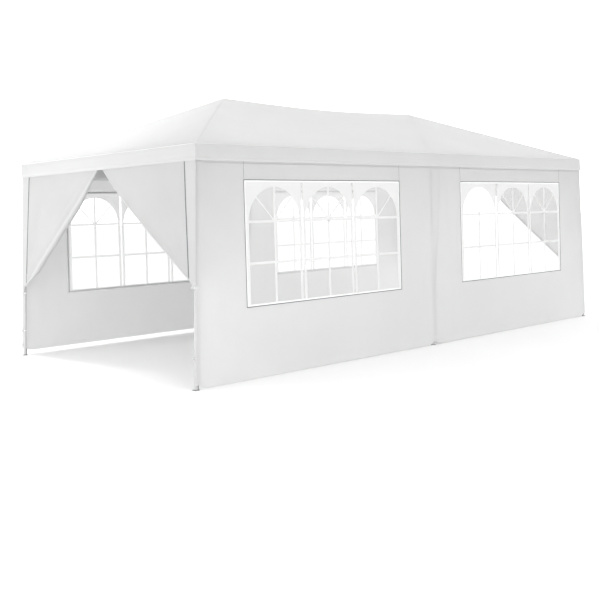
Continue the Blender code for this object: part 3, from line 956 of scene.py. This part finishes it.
def flap_fold(flap, u, z):
    """How far a flap's cloth stands out of its plane: folds that fan out from the tie."""
    from_tie = TIE_U + 0.02 - u
    reach = hypot(from_tie, z - flap.tie_z)
    angle = atan2(z - flap.tie_z, from_tie)
    free = 1 - smooth_step(u, 1.25, 1.42)
    below_valance = smooth_step(VALANCE_FOOT + 0.02 - z, 0, 0.35)
    strength = smooth_step(reach, 0.05, 0.4) * (1 - 0.75 * smooth_step(reach, 0.5, 1.5))
    folds = sum(height * sin(waves * angle + k * flap.turn) for waves, k, height in FOLD_WAVES)
    return free * below_valance * (strength * folds + 0.004 * slow_noise(u, flap.turn, z, 0.5))


def flap_x(flap, u, z):
    """Distance of a flap's cloth from the tent's middle. The outer edge turns in round the leg."""
    corner = max(u - CORNER_U, 0)
    return FLAP_X + lean(z) + flap_fold(flap, u, z) - CORNER_TURN * corner * corner


print("ties at heights of", [flap.tie_z for flap in FLAPS.values()], "m")

# %% Door flaps
ROLL_PITCH = 0.0011
ROLL_STEPS = 220
ROLL_LOOSE = 0.02
HANG_ROWS = 34
SLEEVE_LINES = [1.438, 1.447, 1.456, 1.465, CORNER_U, 1.484, 1.488, FLAP_EDGE]  # these turn round the leg


def roll_turns(flap, row, end, u):
    """The spiral below one upright line, from its inmost turn to the slanted edge."""
    facing, side = FACING[row], ENDS[end]
    low_z = flap_foot(flap, u)
    way = slant_way(flap, u)
    radius = roll_radius(flap, u)
    turns = radius * (1 - flap.hollow) / ROLL_PITCH
    hold = flap_x(flap, u, low_z)
    points = []
    for k in range(ROLL_STEPS, 0, -1):
        angle = 2 * pi * turns * k / ROLL_STEPS
        wander = slow_noise(u * 2, angle / 40, flap.turn, 0.35)
        r = (radius - ROLL_PITCH * angle / (2 * pi)) * (1 + ROLL_LOOSE * smooth_step(angle, 0, 1.5) * wander)
        along = r * sin(angle)
        x = hold + ROLL_SIDE[end] * (radius - r * cos(angle))
        points.append((side * x, facing * (u + way.y * along), low_z - way.x * along))
    return points


def door_flap(row, end):
    """The hanging cloth of one flap and the roll below it, as one grid."""
    facing, side, flap = FACING[row], ENDS[end], FLAPS[row, end]
    rolled = spaced(flap.top_u + 0.0006, ROLL_TO, 0.03)
    lines = rolled + SLEEVE_LINES
    points = []
    for i, u in enumerate(lines):
        points += roll_turns(flap, row, end, u) if i < len(rolled) else [None] * ROLL_STEPS
        low_z = flap_foot(flap, u)
        for j in range(HANG_ROWS + 1):
            z = low_z + (WALL_TOP - low_z) * j / HANG_ROWS
            points.append((side * flap_x(flap, u, z), facing * u, z))
    rows = ROLL_STEPS + HANG_ROWS + 1
    faces = grid_faces(len(lines), rows, lambda i, j: i >= len(rolled) - 1 and j < ROLL_STEPS)
    in_roll = [min(index % rows for index in face) < ROLL_STEPS for face in faces]
    used = {index: k for k, index in enumerate(n for n, point in enumerate(points) if point)}
    faces = turned([tuple(used[index] for index in face) for face in faces], side * facing < 0)
    points = [point for point in points if point]
    cloth = piece(f"door_{end}_{row}_cloth", points, faces, tarpaulin["door"], CLOTH)
    cloth.data.materials.append(tarpaulin["rolled"])
    for face, rolled_up in zip(cloth.data.polygons, in_roll):
        face.material_index = int(rolled_up)
    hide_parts(f"door_flap_{end}_{row}")
    return cloth


flaps = {key: door_flap(*key) for key in walls}
print("flaps:", [flap.name for flap in flaps.values()])

# %% [markdown]
# ## Zips, sleeves and hems
#
# Beside each end leg a grey zip joins the flap to a sleeve, the strip of cloth that wraps the leg. The
# flap's closing edge is doubled to a hem, which shows as a grey band along the slant because less light
# comes through it and because its colour is darker, which is painted shade. The sleeve's darker colour is
# painted shade too. A zip could be a dark line in the material, but its raised teeth catch the light, so it
# is a tape with a profile that follows the cloth. Sleeve and hem are second layers, laid a millimetre off
# the first.

# %% Zips
ZIP_TAPE, ZIP_TEETH = 0.010, 0.0045
TAPE_LIFT, TEETH_LIFT = 0.0012, 0.0024
ZIP_HIGH_Z = 1.95
ZIP_TOP = 1.337
ZIP_LOW = 1.402


def zip_foot(flap):
    """Height at which the zip ends, just above the slanted edge."""
    return slant_z(flap, ZIP_LOW) + 0.012


def zip_line(flap, z):
    """Where the zip is at height z: it leans toward the leg as it comes down."""
    foot = zip_foot(flap)
    return ZIP_LOW + (ZIP_TOP - ZIP_LOW) * (z - foot) / (ZIP_HIGH_Z - foot)


def door_zip(row, end):
    """A tape with a raised line of teeth down its middle, laid on the flap."""
    facing, side, flap = FACING[row], ENDS[end], FLAPS[row, end]
    heights = spaced(zip_foot(flap), ZIP_HIGH_Z, 0.03)
    half = ((ZIP_TAPE, 0.0), (ZIP_TAPE, TAPE_LIFT), (ZIP_TEETH, TAPE_LIFT), (ZIP_TEETH, TEETH_LIFT))
    profile = [(-across, lift) for across, lift in half] + list(half[::-1])
    points = []
    for z in heights:
        for across, lift in profile:
            u = zip_line(flap, z) + across
            points.append((side * (flap_x(flap, u, z) + lift), facing * u, z))
    count = len(profile)
    faces = turned(grid_faces(len(heights), count, ring_rows=True))
    faces += [tuple(range(count))[::-1], tuple(range(len(points) - count, len(points)))]
    made = piece(f"door_{end}_{row}_zip", points, turned(faces, side * facing < 0), nylon_zip)
    made.data.shade_flat()
    return made


print("zips", 2 * ZIP_TAPE, "m wide, from", [round(zip_foot(flap), 3) for flap in FLAPS.values()], "m up")

# %% Sleeves and hems of the flaps
SLEEVE_LIFT = 0.0012
SLEEVE_SHARES = (0, 0.25, 0.5, 0.75, 0.9, 0.96, 1)
HEM_EDGE_LIFT, HEM_FACE_LIFT = 0.0008, 0.0014
HEM_CLOTH = 0.0006


def corner_sleeve(row, end):
    """The strip of cloth between the zip and the corner, a second layer round the leg."""
    facing, side, flap = FACING[row], ENDS[end], FLAPS[row, end]
    points = []
    heights = spaced(0, 1, 1 / 36)
    for share in SLEEVE_SHARES:
        foot = flap_foot(flap, ZIP_LOW + (FLAP_EDGE - ZIP_LOW) * share) + 0.006
        for t in heights:
            z = foot + (WALL_TOP - 0.01 - foot) * t
            inner = zip_line(flap, z)
            u = inner + (FLAP_EDGE + 0.0008 - inner) * share
            points.append((side * (flap_x(flap, u, z) + SLEEVE_LIFT), facing * u, z))
    faces = turned(grid_faces(len(SLEEVE_SHARES), len(heights)), side * facing < 0)
    # Its colour, a shade darker than the flap's, is painted shade.
    return piece(f"door_{end}_{row}_sleeve", points, faces, tarpaulin["sleeve"], CLOTH)


def flap_hem(row, end):
    """The doubled edge that follows the slant, on the face away from the roll."""
    facing, side, flap = FACING[row], ENDS[end], FLAPS[row, end]
    points = []
    lines = spaced(flap.top_u + 0.02 + flap.hem / 2, 1.39, 0.03)
    steps = [(0, HEM_EDGE_LIFT), (0.002, HEM_FACE_LIFT), (flap.hem / 2, HEM_FACE_LIFT)]
    steps += [(flap.hem - 0.002, HEM_FACE_LIFT), (flap.hem, HEM_EDGE_LIFT)]
    for u in lines:
        way = slant_way(flap, u)
        for step, lift in steps:
            at_u, at_z = u - way.y * step, slant_z(flap, u) + way.x * step
            points.append((side * (flap_x(flap, at_u, at_z) - ROLL_SIDE[end] * lift), facing * at_u, at_z))
    faces = turned(grid_faces(len(lines), len(steps)), side * facing < 0)
    # Its darker colour is painted shade along the slant.
    return piece(f"door_{end}_{row}_hem", points, faces, tarpaulin["hem"], HEM_CLOTH)


print("hems", [flap.hem for flap in FLAPS.values()], "m wide")

# %% [markdown]
# ## Straps, buckles and toggles
#
# Where the roll meets the leg a woven strap with a small slider holds both, and near the foot an elastic
# loop with a toggle holds the wall's hem to the leg. A strap round two round things takes the shape of a
# belt round two wheels: at each angle it touches the wheel that reaches out furthest. The sliders and
# toggles are moulded acetal, a hard white plastic with a faint grain from the mould, drawn about 1 mm
# coarse. They could be boxes, but the slots of the slider and the waist of the toggle are what one knows
# them by.

# %% Moulded plastic
MOULD_GRAIN = 900.0

# Moulded acetal: an even, slightly greyish white with a broad soft highlight.
white_acetal, tree, place = new_material("white_moulded_acetal")
mould = node(tree, "ShaderNodeTexNoise", {"Vector": place, "Scale": MOULD_GRAIN, "Detail": 1.0})
mould_bump = node(tree, "ShaderNodeBump", {"Height": (mould, "Fac"), "Strength": 0.2, "Distance": 0.0002})
acetal_look = {"Base Color": linear("#cbcccc"), "Roughness": 0.38, "IOR": 1.48}
acetal = node(tree, "ShaderNodeBsdfPrincipled", acetal_look | {"Normal": (mould_bump, "Normal")})
node(tree, "ShaderNodeOutputMaterial", {"Surface": (acetal, "BSDF")})
print("plastic:", white_acetal.name)

# %% Straps, buckles and toggles
STRAP_WIDTH = 0.014
STRAP = 0.0012
BELT_STEPS = 64
BELT_LEVELS = {-0.5: 0.6, -0.42: 1, 0: 1, 0.42: 1, 0.5: 0.6}  # share of the width, share of the thickness
BUCKLE_W, BUCKLE_H, BUCKLE_BAR = 0.012, 0.010, 0.003
TOGGLE_HALF = ((0, 0.011), (0.005, 0.011), (0.0068, 0.008))
TOGGLE = [(r, -z) for r, z in TOGGLE_HALF] + [(0.006, 0)] + list(TOGGLE_HALF[::-1])
TOGGLE_SIDES = 14


def belt(name, wheels, z, width, material):
    """A strap round upright wheels (x, y, radius), at height z."""
    points = []
    for k in range(BELT_STEPS):
        turn = 2 * pi * k / BELT_STEPS
        out = Vector((cos(turn), sin(turn)))
        x, y, radius = max(wheels, key=lambda wheel: out.x * wheel[0] + out.y * wheel[1] + wheel[2])
        for level, share in BELT_LEVELS.items():
            lift = radius + STRAP * share
            points.append((x + out.x * lift, y + out.y * lift, z + level * width))
    faces = grid_faces(BELT_STEPS, len(BELT_LEVELS), ring_columns=True)
    return piece(name, points, faces, material, STRAP)


def buckle(name, at):
    """A flat slider with two slots, worn over the strap."""
    slot_w, slot_h = BUCKLE_W - BUCKLE_BAR, BUCKLE_H - 0.002
    loops = [rectangle(-BUCKLE_W, -BUCKLE_H, BUCKLE_W, BUCKLE_H)]
    loops.append(rectangle(-slot_w, -slot_h, -BUCKLE_BAR / 2, slot_h))
    loops.append(rectangle(BUCKLE_BAR / 2, -slot_h, slot_w, slot_h))
    shape = flat_shape(loops)
    shape.verts.index_update()
    points = [(at[0], at[1] + v.co.x, at[2] + v.co.y) for v in shape.verts]
    faces = [[v.index for v in face.verts] for face in shape.faces]
    shape.free()
    made = piece(name, points, faces, white_acetal, BUCKLE_BAR)
    soften(made, 0.0007)
    return made


def toggle(name, at):
    """A small turned barrel, pinched in the middle, that the elastic passes through."""
    points = []
    for radius, height in TOGGLE:
        for k in range(TOGGLE_SIDES):
            turn = 2 * pi * k / TOGGLE_SIDES
            points.append((at[0] + radius * cos(turn), at[1] + radius * sin(turn), at[2] + height))
    faces = turned(grid_faces(len(TOGGLE), TOGGLE_SIDES, ring_rows=True))
    made = piece(name, points, faces, white_acetal)
    merged = bmesh.new()
    merged.from_mesh(made.data)
    bmesh.ops.remove_doubles(merged, verts=merged.verts, dist=0.0001)
    merged.to_mesh(made.data)
    merged.free()
    return made


print("straps", STRAP_WIDTH, "m wide, toggles", 2 * max(radius for radius, _ in TOGGLE), "m thick")

# %% Ties on every end leg
LEG_RADIUS = 0.016
LOW_TIE_Z = 0.255
KNOT_LIFT = 0.012
ELASTIC_WIDTH = 0.007

for (row, end), cloth in flaps.items():
    facing, side, flap = FACING[row], ENDS[end], FLAPS[row, end]
    z = flap.knot_z + KNOT_LIFT
    flap_face = FLAP_X + lean(z)
    leg = (side * (JOINT_X + lean(z)), facing * JOINT_Y, LEG_RADIUS + 0.0052)
    tail = (side * (flap_face + 0.007 * ROLL_SIDE[end]), facing * 1.444, 0.0105)
    strap = belt(f"door_{end}_{row}_tie", [leg, tail], z, STRAP_WIDTH, white_strap)
    grip = buckle(f"door_{end}_{row}_buckle", (side * (flap_face + 0.0075), facing * KNOT_U, z))
    zip_tape = door_zip(row, end)
    corner_sleeve(row, end)
    flap_hem(row, end)
    x, y = side * (JOINT_X + lean(LOW_TIE_Z)), facing * JOINT_Y
    belt(f"leg_{row}_{end}_elastic", [(x, y, LEG_RADIUS + 0.0004)], LOW_TIE_Z, ELASTIC_WIDTH, white_strap)
    toggle(f"leg_{row}_{end}_toggle", (x + side * (LEG_RADIUS + 0.0075), y, LOW_TIE_Z))
print("ties and zips on", len(flaps), "end legs")

# %% [markdown]
# ## Floor
#
# The photograph has a white studio round it, without a horizon. A pale matt paint that the light just burns
# out gives the same picture: outside the tent it is as white as the sky, and under the roof it turns a soft
# grey.

# %% Floor
REACH = 150.0

# Rolled studio paint: matt and even, so that only the tent's shade marks it.
studio_paint, tree, place = new_material("pale_studio_floor")
patches = node(tree, "ShaderNodeTexNoise", {"Vector": place, "Scale": 0.8, "Detail": 2.0})
tint = node(tree, "ShaderNodeValToRGB", {"Fac": (patches, "Fac")}, stops=((0, "#efefef"), (1, "#f3f3f3")))
floor_look = {"Base Color": (tint, "Color"), "Roughness": 0.9, "Specular IOR Level": 0.2}
floor_shader = node(tree, "ShaderNodeBsdfPrincipled", floor_look)
node(tree, "ShaderNodeOutputMaterial", {"Surface": (floor_shader, "BSDF")})

floor_mesh = bpy.data.meshes.new("studio_floor")
floor_corners = [(*corner, 0) for corner in rectangle(-REACH, -REACH, REACH, REACH)]
floor_mesh.from_pydata(floor_corners, [], [(0, 1, 2, 3)])
floor_mesh.materials.append(studio_paint)
floor = add_object("studio_floor", floor_mesh)
print("floor", 2 * REACH, "m across")

# %% [markdown]
# ## Light
#
# The sky is a white dome, brighter at the horizon than overhead, so that the upright walls are as light as
# the roof. A sun straight overhead keeps the shade inside the tent's own outline. A low side lamp fills the
# near end, where the door flaps face away from most of the sky. A soft spot hangs straight above the
# sloping end of the roof, the brightest part of the photograph, and from there it can't shine in through
# the doorway.

# %% Sky and lamps
SKY_LOW, SKY_HIGH = 1.97, 0.83
SUN_STRENGTH, SUN_ANGLE = 0.28, 0.04
SIDE_AT, SIDE_AIM = Vector((-6.5, 1.6, 1.6)), Vector((-HALF_L, 0.4, 1.3))
SIDE_POWER, SIDE_SIZE = 45.0, 2.5
SPOT_AT, SPOT_AIM = Vector((-3.6, 1.6, 7.6)), Vector((-2.65, 1.05, 2.12))
SPOT_POWER, SPOT_CONE, SPOT_SOFTNESS = 520.0, 0.66, 0.5


def lamp(name, kind, at=None, aim=None, **settings):
    """A lamp, turned towards its aim if it has one. Without one it shines straight down."""
    data = bpy.data.lights.new(name, kind)
    for setting, value in settings.items():
        setattr(data, setting, value)
    made = add_object(name, data)
    if aim is not None:
        made.location = at
        made.rotation_mode = "QUATERNION"
        made.rotation_quaternion = (at - aim).to_track_quat("Z", "Y")
    return made


world = bpy.data.worlds.new("white_studio")
world.use_nodes = True
sky = world.node_tree
height = node(sky, "ShaderNodeSeparateXYZ", {"Vector": (node(sky, "ShaderNodeTexCoord"), "Generated")})
level = node(sky, "ShaderNodeMapRange", {"Value": (height, "Z"), "To Min": SKY_LOW, "To Max": SKY_HIGH})
sky.nodes["Background"].inputs["Color"].default_value = (1, 1, 1, 1)
sky.links.new(level.outputs["Result"], sky.nodes["Background"].inputs["Strength"])
bpy.context.scene.world = world

lamp("top_lamp", "SUN", energy=SUN_STRENGTH, angle=SUN_ANGLE)
lamp("side_lamp", "AREA", SIDE_AT, SIDE_AIM, energy=SIDE_POWER, size=SIDE_SIZE)
cone = {"spot_size": SPOT_CONE, "spot_blend": 1.0, "shadow_soft_size": SPOT_SOFTNESS}
lamp("slope_lamp", "SPOT", SPOT_AT, SPOT_AIM, energy=SPOT_POWER, **cone)

bpy.context.scene.view_settings.view_transform = "Standard"
bpy.context.scene.view_settings.look = "None"
print("sky", SKY_LOW, "to", SKY_HIGH, "lamps", SIDE_POWER, "and", SPOT_POWER, "W")
